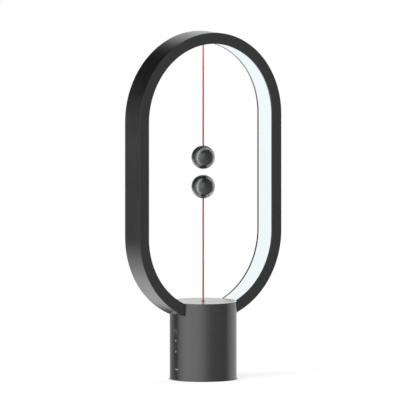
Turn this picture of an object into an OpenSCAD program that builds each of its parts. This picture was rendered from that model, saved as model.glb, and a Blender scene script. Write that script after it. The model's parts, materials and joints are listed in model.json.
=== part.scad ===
// Magnetic balance lamp: a lit ring stands in a round base. One ball hangs from the top of the ring and
// one is held up from the base, and the pull between their magnets keeps the lower cord taut, which
// lifts a plunger in the base and closes the light's switch.
// Millimetres. The origin is the centre of the base's underside, +Z is up and the ring lies in X and Z.

/* [Ring] */
// Height of the whole lamp
lamp_h = 400; // [390:1:410]
// Width of the ring over its outside
ring_w = 198.2; // [190:0.2:206]
// Thickness of the ring seen from the front
ring_band = 12.8; // [11.5:0.1:14]
// Depth of the ring from front to back
ring_depth = 30; // [27:0.5:31]
// Height of the centre of the ring's lower arc
arc_low_z = 167.6; // [166.4:0.2:168.4]
// Thickness of the frame's side walls, seen as lips beside the light
lip = 2.1; // [1.8:0.1:2.4]

/* [Base] */
// Diameter of the base
base_d = 77; // [76:0.5:79]
// Height of the base
base_h = 89.6; // [89:0.2:90.4]
// Wall thickness of the base's shell
shell_wall = 2.4; // [2:0.1:2.6]
// Height of the power inlet's centre
inlet_z = 12.7; // [12.5:0.1:13]

/* [Balls and cords] */
// Diameter of each ball
ball_d = 27; // [25:0.5:28]
// Height of the upper ball's centre
upper_ball_z = 255.5; // [250:0.5:262]
// Free gap between the two balls
ball_gap = 6.9; // [6:0.1:10]
// Diameter of the cords
cord_d = 1.9; // [1.7:0.1:2]

/* [Switch] */
// Travel of the plunger that the lower cord lifts
switch_travel = 2; // [1.6:0.1:2]

/* [Hidden] */
$fn = 96;

gap = 0.1; // clearance between fixed pieces that are assembled
seat_gap = 0.02; // clearance where one piece sits in another
run = 0.06; // radial clearance of a sliding fit
proud = 1; // how far a cutting shape runs past what it cuts

// Ring
ring_r = ring_w / 2;
inner_r = ring_r - ring_band;
arc_top_z = lamp_h - ring_r;
half_depth = ring_depth / 2;
frame_wall = 2;
frame_end_x = 20; // the ring is open below, and its ends stop here inside the base
diffuser_inset = 0.3;
diffuser_t = 1.6;
diffuser_r = inner_r + diffuser_inset;
ledge_t = 1;
ledge_reach = 1.6;
strip_r = ring_r - frame_wall - 0.05;
strip_t = 0.45;
strip_w = 10;
strip_end_x = frame_end_x + 1;
chip = [2.8, 3.5, 0.8]; // along the strip, across it, and its height
chip_lift = 0.05; // solder under a chip
chip_step = 7.5; // degrees between chips on the arcs
chips_on_side = 11;
chips_on_low_arc = 10;

// Base
base_r = base_d / 2;
shell_r = base_r - shell_wall;
foot_drop = 0.6; // the foot ring stands this far below the shell
cover_t = 2.4;
cover_top = foot_drop + cover_t;
foot_r = 35;
foot_inner_r = 28.5;
foot_t = 1.4;
plate_t = 2.4;
plate_bottom = base_h - plate_t;
ledge_h = 2;
ballast_r = 34.6;
ballast_z = 17;
ballast_t = 14;
ballast_gap = [20, 16.4]; // the cut in the ballast for the wires, from its edge inwards and across
boss_z = ballast_z + ballast_t + 0.1;
deck_z = 58;
deck_t = 2.5;
deck_top = deck_z + deck_t;
ledge_w = 2;
deck_r = shell_r - ledge_w - 0.2; // passes the ledge when the ring is lowered into the base
post_xy = 17; // the base's four screws stand at plus and minus this in X and Y
post_r = 3.4;
pillar_r = 4.4;
screw_r = 1.5;
pilot_r = screw_r + 0.05;
free_r = 1.7;
head_r = 2.8;
head_t = 2;
rib_t = 2;
mark_r = 1.3;
mark_zs = [33.4, 46];
ring_mark_z = 56.2;
mark_ring_r = [2.6, 2.15];
mark_depth = 0.4;
mark_rise = 0.12;

// Cradles that carry the ring's ends
cradle_x = [frame_end_x, 31];
cradle_half_y = 12;
cradle_h = 22;
end_screw_x = 26;
end_screw_y = 9;
block_inner_y = 5.6;
block_w = 10;
block_t = 5.4;

// Balls and cords
cord_r = cord_d / 2;
ball_r = ball_d / 2;
lower_ball_z = upper_ball_z - ball_d - ball_gap;
joint_gap = cord_r + 0.05; // each cord stops this far from the point where it bends
eyelet_r = 2;
eyelet_flange = [3, 0.58]; // radius and thickness
eyelet_face = arc_top_z + diffuser_r - 0.7;
eyelet_top = arc_top_z + diffuser_r + diffuser_t + 0.6;
upper_bend_z = eyelet_face - 0.8;
lower_bend_z = base_h + 3.2;
magnet_r = 7;
magnet_t = 7;
magnet_far = 9.75; // from the ball's centre to the magnet's outer face
spigot_t = 2.2;
stop_pocket_r = 4;
stop_pocket_top = 6;
stop_r = 2.2;
stop_t = 3.2;

// Switch
plunger_r = 3;
plunger_foot_z = 54;
flange_z = 70;
flange_t = 2;
flange_r = 5.9;
housing_r = 8;
housing_bore_r = 6.2;
housing_top = 82;
cap_t = 2;
lead_hole_r = 1.6;
plunger_hole_r = cord_r + 0.1;
knot_r = 1.7;
knot_z = flange_z - 5.8;
coil_r = 3.9;
wire_r = 0.4;
coil_turns = 5;
arm_half_w = 0.8;
arm_y = [5.2, 13.6];
arm_top = flange_z + 4;
guide_bore_r = 1.2;
guide_mouth_r = 2;
guide_barrel_r = 2.6;
guide_flange_r = 3.2;
guide_seat_z = base_h - 1.4; // underside of its flange

// Microswitch, button down, beside the plunger
case_x = [-14, -1.2];
case_y = [9.5, 15.3];
case_z = [75, 81.5];
lever_pivot = [-13.4, arm_top + 0.25]; // X and Z of the lever's pin
lever_tip_x = 1.4;
lever_t = 0.4;
lever_eye_r = 0.65;
pin_r = 0.3;
ear_t = 0.7;
ear_r = 0.75;
lever_y = [10.4, 14.4];
button_x = -9.4;
button_y = [11, 13.8];
switch_hole_xs = [-10.85, -4.35];
switch_hole_z = 79.4;
wing_y = [15.4, 17.6];
wing_z = 63;

// Driver board and power inlet on the -X side
board_x = [-34, -6];
board_half_y = 10;
board_t = 1.6;
socket = [7.4, 8.94, 3.26]; // depth, width and height
socket_x = -38;
tongue = [6.7, 1.1]; // width and thickness
board_top = inlet_z - socket[2] / 2;
board_z = board_top - board_t;
board_screw = [-29.5, 8, 0.8]; // X, Y and the shank's radius
board_head = [1.6, 1]; // radius and height
board_boss_r = 2.4;
board_boss_top = ballast_z - 0.5;
board_rest = [-10, 4]; // X of the rest under the board's inner end, and its half width

// Wires inside the base, from the board to the ring's end and to the switch
led_wire_r = 0.6;
led_wire_route = [
    [-24, 3, 13], [-27, 3, 17], [-28, 3, 24], [-28, 3, 32], [-26, 3, 40], [-21, 2, 47],
    [-17, 1.2, 52], [-15.5, 1.2, 57], [-15.5, 1.2, 62], [-15.7, 1.4, 67], [-16.6, 1.7, 71],
    [-18.6, 2, 74], [-21.8, 2, 74.8]
];
switch_wire_route = [
    [-12, 3, 13], [-14.5, 3, 15.8], [-18, 4, 18], [-21, 5, 22], [-22, 5.4, 27], [-21, 5.8, 34],
    [-16, 7, 42], [-12, 8, 50], [-10.5, 8.5, 56], [-10.5, 8.5, 62], [-11.5, 8, 70], [-12, 7.5, 78],
    [-12, 8.2, 83], [-11.5, 10, 84.4]
];

// ---------- shared shapes ----------

// The ring's outline at distance r outside the line between its two arc centres
module stadium(r) {
    translate([0, arc_top_z]) circle(r);
    translate([0, arc_low_z]) circle(r);
    translate([-r, arc_low_z]) square([2 * r, arc_top_z - arc_low_z]);
}

// Turns an outline drawn in X and Y into a slab standing in X and Z, from y0 to y1
module slab(y0, y1) {
    translate([0, y1, 0]) rotate([90, 0, 0]) linear_extrude(y1 - y0) children();
}

// A band that follows the ring between two radii, open at the bottom where the ends are inside the base
module band(y0, y1, r_out, r_in, end_x = frame_end_x) {
    slab(y0, y1) difference() {
        stadium(r_out);
        stadium(r_in);
        translate([-end_x, 0]) square([2 * end_x, base_h]);
    }
}

// A tube with square ends
module ring(r_out, r_in, h) {
    difference() {
        cylinder(r = r_out, h = h);
        translate([0, 0, -proud]) cylinder(r = r_in, h = h + 2 * proud);
    }
}

// Places its children at the base's four screw positions
module at_posts() {
    for (x = [-1, 1], y = [-1, 1]) translate([x * post_xy, y * post_xy, 0]) children();
}

// A hexagon-socket screw standing head down at z = 0, with its shank going up
module screw(length, r = screw_r, head = head_r, height = head_t) {
    difference() {
        union() {
            cylinder(r = head, h = height);
            cylinder(r = r, h = height + length);
        }
        translate([0, 0, -proud]) cylinder(r = head * 0.45, h = height * 0.6 + proud, $fn = 6);
    }
}

// How far a knot's centre stands from a hole of radius r that it pulls on
function knot_rise(r) = sqrt(knot_r * knot_r - r * r) + seat_gap;

function unit(v) = v / norm(v);

// A point on a smooth curve through a route, t from 0 to 1 between its points i and i + 1
function curve_point(route, i, t) =
    let (
        n = len(route) - 1,
        a = route[max(i - 1, 0)],
        b = route[i],
        c = route[i + 1],
        d = route[min(i + 2, n)]
    )
    (2 * b + (c - a) * t + (2 * a - 5 * b + 4 * c - d) * t * t + (3 * b - a - 3 * c + d) * t * t * t) / 2;

// A route refined to this many steps between its points
function smooth(route, steps) = [
    for (i = [0:len(route) - 2], k = [0:steps - 1]) curve_point(route, i, k / steps),
    route[len(route) - 1]
];

// One ring of points around p, square to the direction along
function rim(p, along, up, r, sides) =
    let (side = unit(cross(up, along)), top = cross(along, side))
    [for (k = [0:sides - 1]) p + r * (cos(360 * k / sides) * side + sin(360 * k / sides) * top)];

// A round wire swept along a route
module wire(route, r, up = [0, 1, 0], sides = 8) {
    n = len(route);
    rings = [
        for (i = [0:n - 1])
            rim(route[i], unit(route[min(i + 1, n - 1)] - route[max(i - 1, 0)]), up, r, sides)
    ];
    points = [for (one = rings, p = one) p];
    walls = [
        for (i = [0:n - 2], k = [0:sides - 1])
            let (a = i * sides + k, b = i * sides + (k + 1) % sides)
            each [[a, b, b + sides], [a, b + sides, a + sides]]
    ];
    first = [for (k = [sides - 1:-1:0]) k];
    last = [for (k = [0:sides - 1]) (n - 1) * sides + k];
    polyhedron(points, concat(walls, [first, last]));
}

function mirrored(route) = [for (p = route) [p[0], -p[1], p[2]]];

// ---------- base ----------

module shell_posts() {
    at_posts() cylinder(r = post_r, h = deck_z - boss_z);
    intersection() {
        cylinder(r = shell_r + shell_wall / 2, h = deck_z - boss_z);
        for (a = [45:90:315]) rotate([0, 0, a])
            translate([post_xy * sqrt(2), -rib_t / 2, 0]) cube([base_r, rib_t, deck_z - boss_z]);
    }
}

// Bosses in from the wall beside the inlet, which the board is screwed up to
module board_bosses() {
    h = board_boss_top - board_top;
    intersection() {
        cylinder(r = shell_r + shell_wall / 2, h = base_h);
        for (y = [-1, 1]) translate([0, y * board_screw[1], board_top]) {
            translate([board_screw[0], 0, 0]) cylinder(r = board_boss_r, h = h);
            translate([-base_r, -rib_t / 2, 0]) cube([base_r + board_screw[0], rib_t, h]);
        }
    }
}

module mark_outlines(outside_r, grow = 0) {
    intersection() {
        ring(outside_r, base_r - mark_depth, base_h);
        translate([-base_r - proud, 0, 0]) rotate([0, 90, 0]) union() {
            for (z = mark_zs) translate([-z, 0, 0]) cylinder(r = mark_r + grow, h = base_r);
            translate([-ring_mark_z, 0, 0]) difference() {
                cylinder(r = mark_ring_r[0] + grow, h = base_r);
                translate([0, 0, -proud]) cylinder(r = mark_ring_r[1] - grow, h = base_r + 2 * proud);
            }
        }
    }
}

module inlet_window() {
    clear = 0.25;
    round_r = socket[2] / 2 + clear;
    width = socket[1] + 2 * clear;
    translate([-base_r - proud, 0, inlet_z]) rotate([0, 90, 0]) {
        for (s = [-1, 1]) translate([0, s * (width / 2 - round_r), 0]) cylinder(r = round_r, h = 6);
        translate([-round_r, round_r - width / 2, 0]) cube([2 * round_r, width - 2 * round_r, 6]);
    }
}

module base_shell() {
    color([0.22, 0.225, 0.23]) difference() {
        union() {
            translate([0, 0, foot_drop]) ring(base_r, shell_r, base_h - foot_drop);
            translate([0, 0, plate_bottom - ledge_h]) ring(shell_r + gap, shell_r - ledge_w, ledge_h);
            translate([0, 0, boss_z]) shell_posts();
            board_bosses();
        }
        slab(-half_depth - gap, half_depth + gap) stadium(ring_r + gap);
        at_posts() translate([0, 0, boss_z - proud]) cylinder(r = pilot_r, h = deck_z - boss_z + 2 * proud);
        for (y = [-1, 1]) translate([board_screw[0], y * board_screw[1], board_top - proud])
            cylinder(r = board_screw[2], h = board_boss_top - board_top + 2 * proud);
        inlet_window();
        mark_outlines(base_r + proud, seat_gap);
    }
}

module side_marks() {
    color([0.62, 0.63, 0.64]) mark_outlines(base_r + mark_rise);
}

module top_plate() {
    color([0.25, 0.255, 0.26]) difference() {
        translate([0, 0, plate_bottom]) cylinder(r = shell_r - 0.05, h = plate_t);
        band(-half_depth - gap, half_depth + gap, ring_r + proud, inner_r - gap);
        translate([0, 0, plate_bottom - proud])
            cylinder(r = guide_barrel_r + gap, h = plate_t + 2 * proud);
        translate([0, 0, guide_seat_z]) cylinder(r = guide_flange_r + 0.05, h = plate_t);
    }
}

module bottom_cover() {
    color([0.17, 0.17, 0.175]) difference() {
        union() {
            translate([0, 0, foot_drop]) cylinder(r = shell_r - gap, h = cover_t);
            at_posts() translate([0, 0, foot_drop]) cylinder(r = pillar_r, h = ballast_z - foot_drop);
            for (y = [-1, 1]) translate([board_rest[0] - 2, y * 6 - board_rest[1] / 2, foot_drop])
                cube([board_rest[1], board_rest[1], board_z - foot_drop]);
        }
        translate([0, 0, -proud]) ring(foot_r + gap, foot_inner_r - gap, foot_t + proud);
        at_posts() {
            cylinder(r = head_r + 0.2, h = cover_top + 0.4);
            cylinder(r = free_r, h = ballast_z + proud);
        }
    }
}

module foot_ring() {
    color([0.06, 0.06, 0.065]) ring(foot_r, foot_inner_r, foot_t);
}

module ballast_weight() {
    color([0.5, 0.5, 0.52]) translate([0, 0, ballast_z]) difference() {
        cylinder(r = ballast_r, h = ballast_t);
        at_posts() translate([0, 0, -proud]) cylinder(r = free_r, h = ballast_t + 2 * proud);
        translate([-ballast_r, -ballast_gap[1] / 2, -proud])
            cube([ballast_gap[0], ballast_gap[1], ballast_t + 2 * proud]);
    }
}

module cover_screws() {
    color([0.7, 0.7, 0.72]) at_posts() translate([0, 0, cover_top + 0.4 - head_t]) screw(40);
}

module frame_deck() {
    color([0.2, 0.2, 0.21]) difference() {
        union() {
            translate([0, 0, deck_z]) cylinder(r = deck_r, h = deck_t);
            for (s = [-1, 1]) translate([s > 0 ? cradle_x[0] : -cradle_x[1], -cradle_half_y, deck_z])
                cube([cradle_x[1] - cradle_x[0], 2 * cradle_half_y, cradle_h]);
        }
        slab(-half_depth, half_depth) stadium(ring_r + seat_gap);
        translate([0, 0, deck_z - proud]) cylinder(r = plunger_r + 0.5, h = deck_t + 2 * proud);
        at_posts() translate([0, 0, deck_z - proud]) cylinder(r = free_r, h = deck_t + 2 * proud);
        for (x = [-1, 1], y = [-1, 1]) translate([x * end_screw_x, y * end_screw_y, deck_z - proud])
            cylinder(r = free_r, h = 30);
        translate([-15.5, 0, deck_z - proud]) cylinder(r = 2.6, h = deck_t + 2 * proud);
        translate([-10.5, 8.5, deck_z - proud]) cylinder(r = 1.8, h = deck_t + 2 * proud);
        translate([-10.5, -8.5, deck_z - proud]) cylinder(r = 1.8, h = deck_t + 2 * proud);
        for (y = [-1, 1]) translate([0, y * 12, deck_z - proud])
            cylinder(r = pilot_r, h = deck_t + 2 * proud);
    }
}

module deck_screws() {
    color([0.7, 0.7, 0.72]) at_posts() translate([0, 0, deck_top + head_t]) mirror([0, 0, 1]) screw(9);
}

// ---------- ring ----------

// The small ledge behind the diffuser's edge, on a wall from y0 to y1
module diffuser_ledge(y0, y1) {
    r = diffuser_r + diffuser_t + gap;
    band(y0, y1, r + ledge_t, r);
}

module frame_front() {
    color([0.2, 0.21, 0.21]) difference() {
        union() {
            band(-half_depth, -half_depth + lip, ring_r, inner_r);
            band(-half_depth, half_depth - lip, ring_r, ring_r - frame_wall);
            diffuser_ledge(-half_depth, -half_depth + lip + ledge_reach);
        }
        for (x = [-1, 1], y = [-1, 1]) translate([x * end_screw_x, y * end_screw_y, deck_z])
            cylinder(r = free_r, h = 20);
    }
}

module frame_rear_cover() {
    color([0.2, 0.21, 0.21]) {
        band(half_depth - lip, half_depth, ring_r, inner_r);
        diffuser_ledge(half_depth - lip - ledge_reach, half_depth);
    }
}

// Blocks glued in the ring's ends, which take the screws that hold it down
module frame_end_blocks() {
    color([0.35, 0.35, 0.36]) difference() {
        for (side = [0, 1]) mirror([0, side, 0]) intersection() {
            slab(block_inner_y, half_depth - lip - gap) difference() {
                stadium(ring_r - frame_wall);
                stadium(ring_r - frame_wall - block_t);
            }
            for (x = [-1, 1]) translate([x * end_screw_x - block_w / 2, 0, deck_z])
                cube([block_w, half_depth, 30]);
        }
        for (x = [-1, 1], y = [-1, 1]) translate([x * end_screw_x, y * end_screw_y, deck_z])
            cylinder(r = pilot_r, h = 24);
    }
}

module frame_end_screws() {
    color([0.7, 0.7, 0.72])
        for (x = [-1, 1], y = [-1, 1]) translate([x * end_screw_x, y * end_screw_y, deck_z - head_t])
            screw(21);
}

module diffuser() {
    color([0.93, 0.97, 0.98]) difference() {
        band(-half_depth + lip + gap, half_depth - lip - gap, diffuser_r + diffuser_t, diffuser_r);
        translate([0, 0, arc_top_z + diffuser_r - proud])
            cylinder(r = eyelet_r + gap, h = diffuser_t + 2 * proud);
    }
}

module led_strip() {
    color([0.9, 0.9, 0.88]) band(-strip_w / 2, strip_w / 2, strip_r, strip_r - strip_t, strip_end_x);
}

// One light-emitting chip, lying under a strip that passes through the origin
module led_chip() {
    translate([-chip[0] / 2, -chip[1] / 2, strip_r - strip_t - chip_lift - chip[2]]) cube(chip);
}

module led_chips() {
    arc_turns = [for (i = [0:180 / chip_step - 1]) chip_step * (i + 0.5) - 90];
    side_step = (arc_top_z - arc_low_z) / chips_on_side;
    color([1, 0.95, 0.7]) {
        translate([0, 0, arc_top_z]) for (a = arc_turns) rotate([0, a, 0]) led_chip();
        for (s = [-90, 90], i = [0:chips_on_side - 1])
            translate([0, 0, arc_low_z + side_step * (i + 0.5)]) rotate([0, s, 0]) led_chip();
        translate([0, 0, arc_low_z]) for (s = [-1, 1], i = [0:chips_on_low_arc - 1])
            rotate([0, s * (90 + chip_step * (i + 0.5)), 0]) led_chip();
    }
}

// ---------- upper cord and balls ----------

// A flanged bush through the diffuser
module upper_cord_eyelet() {
    color([0.85, 0.86, 0.86]) difference() {
        union() {
            translate([0, 0, eyelet_face]) cylinder(r = eyelet_flange[0], h = eyelet_flange[1]);
            translate([0, 0, eyelet_face]) cylinder(r = eyelet_r, h = eyelet_top - eyelet_face);
            translate([0, 0, eyelet_top - eyelet_flange[1]])
                cylinder(r = eyelet_flange[0], h = eyelet_flange[1]);
        }
        translate([0, 0, eyelet_face - proud])
            cylinder(r = guide_bore_r, h = eyelet_top - eyelet_face + 2 * proud);
    }
}

// The fixed end of the upper cord: a knot above the eyelet and the stretch through it
module upper_cord_knot() {
    knot = eyelet_top + knot_rise(guide_bore_r);
    low = upper_bend_z + joint_gap;
    color([0.75, 0.1, 0.12]) {
        translate([0, 0, low]) cylinder(r = cord_r, h = knot - low);
        translate([0, 0, knot]) sphere(knot_r);
    }
}

// The point of a cord that bends when it swings
module cord_bend(z) {
    color([0.75, 0.1, 0.12]) translate([0, 0, z]) sphere(cord_r);
}

module upper_cord_bend() {
    cord_bend(upper_bend_z);
}

module upper_cord() {
    low = upper_ball_z + stop_pocket_top - stop_t;
    color([0.75, 0.1, 0.12]) translate([0, 0, low])
        cylinder(r = cord_r, h = upper_bend_z - joint_gap - low);
}

// The half ball that the cord enters, drawn about the ball's centre with the cord above
module cord_half() {
    color([0.3, 0.31, 0.31]) difference() {
        union() {
            intersection() {
                sphere(ball_r);
                translate([-ball_r, -ball_r, 0]) cube([ball_d, ball_d, ball_r]);
            }
            translate([0, 0, -spigot_t]) cylinder(r = magnet_r, h = spigot_t + 1);
        }
        translate([0, 0, -spigot_t - proud])
            cylinder(r = stop_pocket_r, h = stop_pocket_top + spigot_t + proud);
        cylinder(r = cord_r + 0.2, h = ball_d);
    }
}

// The half ball that holds the magnet, drawn about the ball's centre
module magnet_half() {
    color([0.3, 0.31, 0.31]) difference() {
        sphere(ball_r);
        translate([-ball_r, -ball_r, 0]) cube([ball_d, ball_d, ball_r]);
        translate([0, 0, -magnet_far - 0.05]) cylinder(r = magnet_r + 0.05, h = ball_r);
    }
}

module magnet() {
    color([0.75, 0.75, 0.77]) translate([0, 0, -magnet_far]) cylinder(r = magnet_r, h = magnet_t);
}

// The crimped sleeve that stops a cord's end inside its ball
module cord_stop() {
    color([0.72, 0.6, 0.35]) translate([0, 0, stop_pocket_top - stop_t])
        ring(stop_r, cord_r + seat_gap, stop_t - 0.05);
}

module upper_place() {
    translate([0, 0, upper_ball_z]) children();
}

module lower_place() {
    translate([0, 0, lower_ball_z]) mirror([0, 0, 1]) children();
}

module upper_cord_stop() { upper_place() cord_stop(); }
module upper_ball_top_half() { upper_place() cord_half(); }
module upper_ball_bottom_half() { upper_place() magnet_half(); }
module upper_magnet() { upper_place() magnet(); }
module lower_cord_stop() { lower_place() cord_stop(); }
module lower_ball_bottom_half() { lower_place() cord_half(); }
module lower_ball_top_half() { lower_place() magnet_half(); }
module lower_magnet() { lower_place() magnet(); }

// ---------- lower cord and switch ----------

module lower_cord() {
    high = lower_ball_z - stop_pocket_top + stop_t;
    color([0.75, 0.1, 0.12]) translate([0, 0, lower_bend_z + joint_gap])
        cylinder(r = cord_r, h = high - lower_bend_z - joint_gap);
}

module lower_cord_bend() {
    cord_bend(lower_bend_z);
}

// The stretch of the lower cord inside the base, from its knot to the bend
module lower_cord_knot() {
    color([0.75, 0.1, 0.12]) translate([0, 0, knot_z]) {
        sphere(knot_r);
        cylinder(r = cord_r, h = lower_bend_z - joint_gap - knot_z);
    }
}

// A trumpet-mouthed guide in the top plate, which lets the cord slide and swing
module lower_cord_guide() {
    top = base_h + 0.2;
    low = housing_top + cap_t + 0.6;
    color([0.25, 0.255, 0.26]) rotate_extrude() polygon([
        [guide_bore_r, low], [guide_barrel_r, low], [guide_barrel_r, guide_seat_z],
        [guide_flange_r, guide_seat_z], [guide_flange_r, base_h], [guide_flange_r - 0.2, top],
        [guide_mouth_r, top], [guide_bore_r, top - 2.4]
    ]);
}

// Slides up when the cord pulls, and its arm lifts the microswitch's lever
module switch_plunger() {
    color([0.85, 0.85, 0.82]) difference() {
        union() {
            translate([0, 0, plunger_foot_z]) cylinder(r = plunger_r, h = flange_z - plunger_foot_z + 1);
            translate([0, 0, flange_z]) cylinder(r = flange_r, h = flange_t);
            translate([-arm_half_w, arm_y[0] - 1.2, flange_z])
                cube([2 * arm_half_w, arm_y[1] - arm_y[0] + 1.2, flange_t]);
            translate([-arm_half_w, arm_y[0], flange_z])
                cube([2 * arm_half_w, arm_y[1] - arm_y[0], arm_top - flange_z]);
        }
        translate([0, 0, plunger_foot_z - proud])
            cylinder(r = knot_r + 0.3, h = knot_z + knot_rise(plunger_hole_r) + proud - plunger_foot_z);
        translate([0, 0, plunger_foot_z]) cylinder(r = plunger_hole_r, h = 30);
    }
}

module return_spring() {
    low = flange_z + flange_t + wire_r;
    high = housing_top - wire_r;
    steps = 15;
    last = coil_turns * steps;
    route = [
        for (i = [0:last])
            [coil_r * cos(360 * i / steps), coil_r * sin(360 * i / steps), low + (high - low) * i / last]
    ];
    color([0.75, 0.76, 0.78]) wire(route, wire_r, [0, 0, 1]);
}

module spring_cap() {
    color([0.2, 0.2, 0.21]) translate([0, 0, housing_top]) ring(housing_r, lead_hole_r, cap_t);
}

module switch_housing() {
    stop_z = flange_z - switch_travel - gap;
    color([0.3, 0.3, 0.31]) difference() {
        union() {
            translate([0, 0, deck_top]) cylinder(r = housing_r, h = housing_top - deck_top);
            translate([-5, -15.5, deck_top]) cube([10, 31, wing_z - deck_top]);
            translate([case_x[0] - 1, wing_y[0], deck_top])
                cube([case_x[1] - case_x[0] + 4, wing_y[1] - wing_y[0], case_z[1] - deck_top]);
        }
        translate([0, 0, stop_z]) cylinder(r = housing_bore_r, h = housing_top);
        translate([0, 0, deck_top - proud]) cylinder(r = plunger_r + run, h = housing_top);
        translate([-arm_half_w - 0.4, 4, stop_z]) cube([2 * arm_half_w + 0.8, 6, arm_top + 0.5 - stop_z]);
        for (y = [-1, 1]) translate([0, y * 12, deck_top - proud]) cylinder(r = free_r, h = 5);
        for (x = switch_hole_xs) translate([x, wing_y[0] - proud, switch_hole_z])
            rotate([-90, 0, 0]) cylinder(r = 1.05, h = 5);
        at_posts() translate([0, 0, deck_top - proud]) cylinder(r = head_r + 0.4, h = head_t + 2);
    }
}

module housing_screws() {
    color([0.7, 0.7, 0.72]) for (y = [-1, 1]) translate([0, y * 12, wing_z + head_t])
        mirror([0, 0, 1]) screw(wing_z - deck_z);
}

module microswitch_case() {
    color([0.12, 0.12, 0.13]) difference() {
        union() {
            translate([case_x[0], case_y[0], case_z[0]])
                cube([case_x[1] - case_x[0], case_y[1] - case_y[0], case_z[1] - case_z[0]]);
            for (y = [case_y[0], case_y[1] - ear_t]) {
                pivot_bar(y, y + ear_t, ear_r);
                translate([lever_pivot[0] - 0.6, y, lever_pivot[1]])
                    cube([0.6 + ear_r, ear_t, case_z[0] + proud - lever_pivot[1]]);
            }
        }
        pivot_bar(case_y[0] - proud, case_y[1] + proud, pin_r);
        for (x = switch_hole_xs) translate([x, case_y[0] - proud, switch_hole_z])
            rotate([-90, 0, 0]) cylinder(r = 1.1, h = 8);
        translate([button_x - 0.7, button_y[0] - gap, case_z[0] - proud])
            cube([1.4, button_y[1] - button_y[0] + 2 * gap, 1.6 + proud]);
    }
}

module microswitch_button() {
    color([0.8, 0.15, 0.12]) translate([button_x - 0.6, button_y[0], lever_pivot[1] + lever_t / 2 + gap])
        cube([1.2, button_y[1] - button_y[0], 1.5]);
}

// A round bar along Y on the lever's pivot
module pivot_bar(y0, y1, r) {
    translate([lever_pivot[0], y0, lever_pivot[1]]) rotate([-90, 0, 0]) cylinder(r = r, h = y1 - y0);
}

// A thin strip with an eye at one end that turns on the pin
module microswitch_lever() {
    color([0.75, 0.76, 0.78]) difference() {
        union() {
            pivot_bar(lever_y[0], lever_y[1], lever_eye_r);
            translate([lever_pivot[0], lever_y[0], lever_pivot[1] - lever_t / 2])
                cube([lever_tip_x - lever_pivot[0], lever_y[1] - lever_y[0], lever_t]);
        }
        pivot_bar(lever_y[0] - proud, lever_y[1] + proud, pin_r + run);
    }
}

module lever_pin() {
    color([0.6, 0.6, 0.62]) pivot_bar(case_y[0], case_y[1], pin_r);
}

module microswitch_terminals() {
    color([0.75, 0.76, 0.78]) for (x = [-12.7, -7.6, -2.5])
        translate([x - 0.6, 12, case_z[1]]) cube([1.2, 0.5, 3]);
}

module microswitch_screws() {
    color([0.7, 0.7, 0.72]) for (x = switch_hole_xs) translate([x, case_y[0] - 1.2, switch_hole_z])
        rotate([-90, 0, 0]) screw(7.5, 1, 1.9, 1.2);
}

// ---------- driver board ----------

module driver_board() {
    color([0.05, 0.35, 0.2]) difference() {
        translate([board_x[0], -board_half_y, board_z])
            cube([board_x[1] - board_x[0], 2 * board_half_y, board_t]);
        for (y = [-1, 1]) translate([board_screw[0], y * board_screw[1], board_z - proud])
            cylinder(r = board_screw[2] + gap, h = board_t + 2 * proud);
    }
}

module board_parts() {
    color([0.1, 0.1, 0.11]) translate([0, 0, board_top]) {
        translate([-26, -9, 0]) cube([5, 4, 1.2]);
        translate([-20, -5.5, 0]) cube([6, 6, 3]);
        translate([-13.5, -3, 0]) cube([4, 5, 1.5]);
        translate([-20, 5.5, 0]) cylinder(r = 2, h = 4);
        for (i = [0:3]) translate([-25.5 + 2.2 * i, 8, 0]) cube([1, 1.6, 0.6]);
    }
}

module board_screws() {
    color([0.7, 0.7, 0.72]) for (y = [-1, 1])
        translate([board_screw[0], y * board_screw[1], board_z - board_head[1]])
            screw(6, board_screw[2], board_head[0], board_head[1]);
}

// A rounded slot standing in Y and Z, of this depth along X
module slot_block(depth, width, height) {
    rotate([0, 90, 0]) {
        for (s = [-1, 1]) translate([0, s * (width - height) / 2, 0]) cylinder(r = height / 2, h = depth);
        translate([-height / 2, -(width - height) / 2, 0]) cube([height, width - height, depth]);
    }
}

module usb_socket_shell() {
    t = 0.3;
    color([0.78, 0.79, 0.8]) translate([socket_x, 0, inlet_z]) difference() {
        slot_block(socket[0], socket[1], socket[2]);
        translate([-proud, 0, 0]) slot_block(socket[0] + proud - 0.8, socket[1] - 2 * t, socket[2] - 2 * t);
    }
}

module usb_socket_tongue() {
    color([0.85, 0.85, 0.82]) translate([socket_x + 0.6, -tongue[0] / 2, inlet_z - tongue[1] / 2])
        cube([socket[0] - 0.8 - 0.6, tongue[0], tongue[1]]);
}

module led_wire_red() {
    color([0.7, 0.1, 0.1]) wire(smooth(led_wire_route, 3), led_wire_r);
}

module led_wire_black() {
    color([0.08, 0.08, 0.08]) wire(smooth(mirrored(led_wire_route), 3), led_wire_r);
}

module switch_wires() {
    color([0.85, 0.85, 0.85]) wire(smooth(switch_wire_route, 3), 0.5);
}

base_shell();
top_plate();
bottom_cover();
foot_ring();
ballast_weight();
cover_screws();
frame_deck();
deck_screws();
side_marks();
frame_front();
frame_rear_cover();
frame_end_blocks();
frame_end_screws();
diffuser();
led_strip();
led_chips();
upper_cord_eyelet();
upper_cord_knot();
upper_cord_bend();
upper_cord();
upper_cord_stop();
upper_ball_top_half();
upper_ball_bottom_half();
upper_magnet();
lower_cord_guide();
lower_cord_bend();
lower_cord();
lower_cord_stop();
lower_ball_top_half();
lower_ball_bottom_half();
lower_magnet();
lower_cord_knot();
switch_plunger();
return_spring();
spring_cap();
switch_housing();
housing_screws();
microswitch_case();
microswitch_terminals();
microswitch_screws();
microswitch_lever();
lever_pin();
microswitch_button();
driver_board();
board_parts();
board_screws();
usb_socket_shell();
usb_socket_tongue();
led_wire_red();
led_wire_black();
switch_wires();
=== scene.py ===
import json
import math

import bpy
from mathutils import Matrix, Vector


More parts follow.
